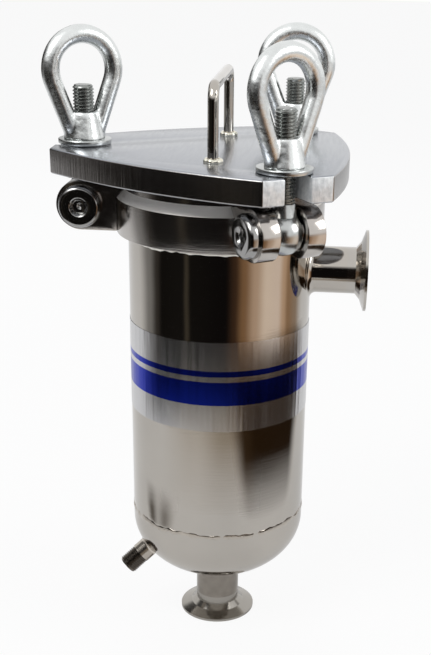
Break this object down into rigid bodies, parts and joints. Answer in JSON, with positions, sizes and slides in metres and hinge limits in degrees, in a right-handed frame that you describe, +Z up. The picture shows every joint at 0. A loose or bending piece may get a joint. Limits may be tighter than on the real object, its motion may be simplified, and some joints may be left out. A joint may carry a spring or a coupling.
{
  "type": "bag filter housing",
  "caption": "Stainless bag filter housing: dished-bottom pipe vessel with side inlet, bottom outlet, drain nipple and a swing-bolt cover plate with forged eye nuts and a bent-rod handle.",
  "frame": {"origin": "centre of the outlet ferrule's flat face, on the vessel's axis", "axes": "+Z up the vessel's axis; +X out of the side inlet; the cover handle runs along Y"},
  "size_m": [0.1979, 0.1954, 0.3889],
  "materials": {
    "polished_steel": "mirror polished",
    "satin_steel": "machined and brushed",
    "zinc_steel": "bright zinc plate",
    "weld_metal": "brushed weld bead",
    "silver_foil": "matte crinkled foil",
    "black_rubber": "moulded",
    "felt": "needled felt"
  },
  "bodies": {
    "root": {"vessel_shell": "polished_steel", "bottom_head": "polished_steel", "head_seam_weld": "weld_metal", "top_collar": "satin_steel", "collar_weld": "weld_metal", "foil_band": "silver_foil", "outlet_tube": "polished_steel", "outlet_ferrule": "polished_steel", "outlet_weld": "polished_steel", "inlet_tube": "polished_steel", "inlet_ferrule": "polished_steel", "inlet_saddle": "polished_steel", "drain_nipple": "satin_steel", "drain_weld": "weld_metal", "cover_plate": "satin_steel", "cover_o_ring": "black_rubber", "cover_handle": "polished_steel", "handle_welds": "weld_metal", "basket_seat_ring": "satin_steel", "restrainer_basket": "satin_steel", "basket_floor": "satin_steel", "basket_rim": "satin_steel", "basket_bail": "satin_steel", "filter_bag": "felt", "bag_ring": "zinc_steel", "lug_left": "satin_steel", "pivot_pin_left": "satin_steel", "lug_front": "satin_steel", "pivot_pin_front": "satin_steel", "lug_rear": "satin_steel", "pivot_pin_rear": "satin_steel"},
    "swing_bolt_left": {"swing_bolt_left": "zinc_steel"},
    "washer_left": {"washer_left": "zinc_steel"},
    "eye_nut_left": {"eye_nut_left": "zinc_steel"},
    "swing_bolt_front": {"swing_bolt_front": "zinc_steel"},
    "washer_front": {"washer_front": "zinc_steel"},
    "eye_nut_front": {"eye_nut_front": "zinc_steel"},
    "swing_bolt_rear": {"swing_bolt_rear": "zinc_steel"},
    "washer_rear": {"washer_rear": "zinc_steel"},
    "eye_nut_rear": {"eye_nut_rear": "zinc_steel"}
  },
  "joints": [
    {"name": "bolt_left_swing", "type": "hinge", "parent": "root", "child": "swing_bolt_left", "pos_m": [-0.0833, 0, 0.286], "axis": [0, -1, 0], "range_deg": [0, 110]},
    {"name": "washer_left_lift", "type": "slide", "parent": "swing_bolt_left", "child": "washer_left", "axis": [0, 0, 1], "range_m": [0, 0.027]},
    {"name": "eye_nut_left_turn", "type": "hinge", "parent": "washer_left", "child": "eye_nut_left", "pos_m": [-0.0833, 0, 0.3232], "axis": [0, 0, 1], "continuous": true},
    {"name": "bolt_front_swing", "type": "hinge", "parent": "root", "child": "swing_bolt_front", "pos_m": [0.04165, -0.07214, 0.286], "axis": [0.866, 0.5, 0], "range_deg": [0, 110]},
    {"name": "washer_front_lift", "type": "slide", "parent": "swing_bolt_front", "child": "washer_front", "axis": [0, 0, 1], "range_m": [0, 0.027]},
    {"name": "eye_nut_front_turn", "type": "hinge", "parent": "washer_front", "child": "eye_nut_front", "pos_m": [0.04165, -0.07214, 0.3232], "axis": [0, 0, 1], "continuous": true},
    {"name": "bolt_rear_swing", "type": "hinge", "parent": "root", "child": "swing_bolt_rear", "pos_m": [0.04165, 0.07214, 0.286], "axis": [-0.866, 0.5, 0], "range_deg": [0, 110]},
    {"name": "washer_rear_lift", "type": "slide", "parent": "swing_bolt_rear", "child": "washer_rear", "axis": [0, 0, 1], "range_m": [0, 0.027]},
    {"name": "eye_nut_rear_turn", "type": "hinge", "parent": "washer_rear", "child": "eye_nut_rear", "pos_m": [0.04165, 0.07214, 0.3232], "axis": [0, 0, 1], "continuous": true}
  ],
  "couplings": [
    {"joint": "washer_left_lift", "follows": "bolt_left_swing", "m_per_rad": 0.014},
    {"joint": "washer_front_lift", "follows": "bolt_front_swing", "m_per_rad": 0.014},
    {"joint": "washer_rear_lift", "follows": "bolt_rear_swing", "m_per_rad": 0.014}
  ]
}
